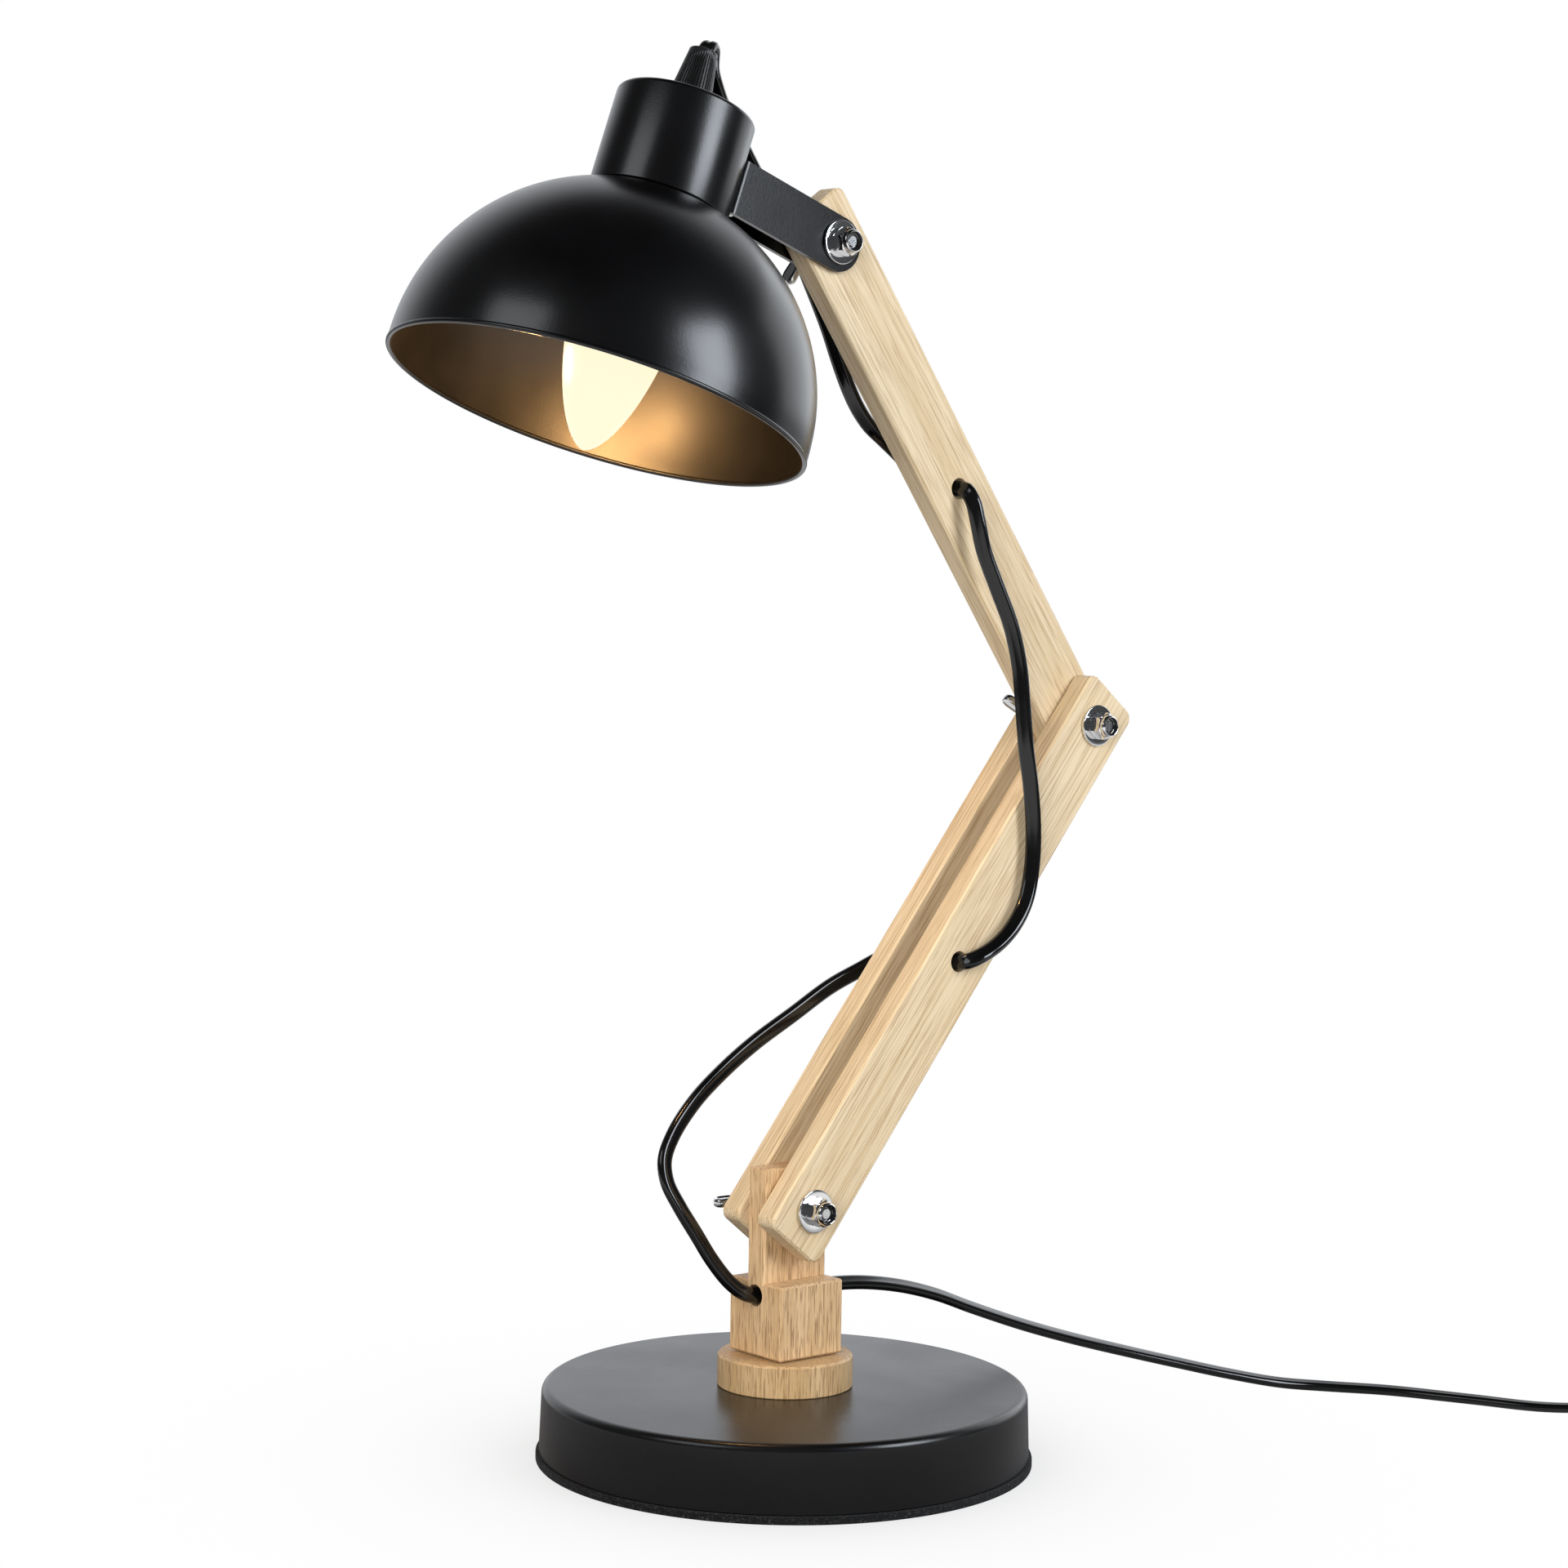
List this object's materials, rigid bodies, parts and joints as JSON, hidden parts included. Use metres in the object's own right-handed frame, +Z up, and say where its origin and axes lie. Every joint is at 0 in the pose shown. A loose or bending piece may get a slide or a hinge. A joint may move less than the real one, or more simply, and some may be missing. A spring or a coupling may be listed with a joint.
{
  "type": "swing-arm desk lamp",
  "caption": "Wooden swing-arm desk lamp with a round weighted base, a swivelling post, hinged lower and upper arms, a tilting half-round metal shade, a screw-in bulb and a corded switch.",
  "frame": {"origin": "middle of the base's underside, on the surface that the lamp stands on", "axes": "+Z up; the arms swing in the XZ plane, the shade hangs toward -X, the lock nuts face -Y and the wing nuts +Y"},
  "size_m": [0.6004, 0.2482, 0.4486],
  "materials": {
    "base_coat": "satin charcoal powder coat",
    "cast_iron": "as cast",
    "felt": "black felt",
    "tan_wood": "oiled, open straight grain",
    "pale_wood": "oiled, fine straight grain",
    "black_plastic": "satin",
    "brass": "bright",
    "steel": "zinc plated",
    "chrome": "bright plated",
    "black_coat": "satin black powder coat with a fine texture",
    "bulb_glass": "frosted, lit warm white",
    "cord": "gloss black flat twin flex",
    "tie": "matt",
    "rocker": "gloss"
  },
  "bodies": {
    "base": {"base_shell": "base_coat", "base_weight": "cast_iron", "felt_pad": "felt", "collar_disc": "tan_wood", "thrust_washer": "black_plastic", "mains_lead": "cord", "switch_lead": "cord", "mains_coil": "cord", "coil_tie": "tie", "plug_lead": "cord", "plug_body": "black_plastic", "plug_pins": "steel", "switch_base": "black_plastic", "switch_cover": "black_plastic", "switch_screws": "steel"},
    "post": {"post_block": "tan_wood", "swivel_insert": "brass", "swivel_bolt": "steel", "swivel_spring": "steel"},
    "lower_arm": {"lower_arm_front": "pale_wood", "lower_arm_rear": "pale_wood", "shoulder_stud": "chrome", "elbow_stud": "chrome", "shoulder_washers": "chrome", "elbow_washers": "chrome", "shoulder_lock_nut": "chrome", "elbow_lock_nut": "chrome", "cord_shoulder": "cord", "cord_elbow": "cord"},
    "upper_arm": {"upper_arm": "pale_wood", "cord_head": "cord"},
    "head": {"head_bracket": "black_coat", "head_stud": "chrome", "head_washers": "chrome", "head_lock_nut": "chrome", "bracket_screws": "steel", "bracket_nuts": "steel", "cap": "black_coat", "shade": "black_coat", "holder_body": "black_plastic", "holder_ring": "black_plastic", "socket_shell": "brass", "socket_contact": "brass", "nipple": "steel", "nipple_nut": "steel", "cord_grip": "black_plastic", "bulb_glass": "bulb_glass", "bulb_cap": "steel", "bulb_contact": "brass"},
    "shoulder_wing_nut": {"shoulder_wing_nut": "chrome"},
    "elbow_wing_nut": {"elbow_wing_nut": "chrome"},
    "head_wing_nut": {"head_wing_nut": "chrome"},
    "switch_rocker": {"switch_rocker": "rocker"}
  },
  "joints": [
    {"name": "base_swivel", "type": "hinge", "parent": "base", "child": "post", "pos_m": [0, 0, 0.034], "axis": [0, 0, 1], "range_deg": [-90, 90], "deforming": ["mains_lead"]},
    {"name": "shoulder", "type": "hinge", "parent": "post", "child": "lower_arm", "pos_m": [0, 0, 0.08225], "axis": [0, 1, 0], "range_deg": [-45, 30], "deforming": ["cord_shoulder"]},
    {"name": "elbow", "type": "hinge", "parent": "lower_arm", "child": "upper_arm", "pos_m": [0.12223, 0, 0.23482], "axis": [0, 1, 0], "range_deg": [-45, 60], "deforming": ["cord_elbow"]},
    {"name": "head_tilt", "type": "hinge", "parent": "upper_arm", "child": "head", "pos_m": [0.00979, 0, 0.38959], "axis": [0, 1, 0], "range_deg": [-42, 55], "deforming": ["cord_head"]},
    {"name": "shoulder_wing_nut_turn", "type": "hinge", "parent": "lower_arm", "child": "shoulder_wing_nut", "pos_m": [0, 0, 0.08225], "axis": [0, 1, 0], "range_deg": [-90, 90]},
    {"name": "elbow_wing_nut_turn", "type": "hinge", "parent": "lower_arm", "child": "elbow_wing_nut", "pos_m": [0.12223, 0, 0.23482], "axis": [0, 1, 0], "range_deg": [-90, 90]},
    {"name": "head_wing_nut_turn", "type": "hinge", "parent": "head", "child": "head_wing_nut", "pos_m": [0.00979, 0, 0.38959], "axis": [0, 1, 0], "range_deg": [-90, 90]},
    {"name": "switch_rocker", "type": "hinge", "parent": "base", "child": "switch_rocker", "pos_m": [0.30531, -0.14308, 0.013], "axis": [0.342, 0.9397, 0], "range_deg": [-14, 0]}
  ]
}
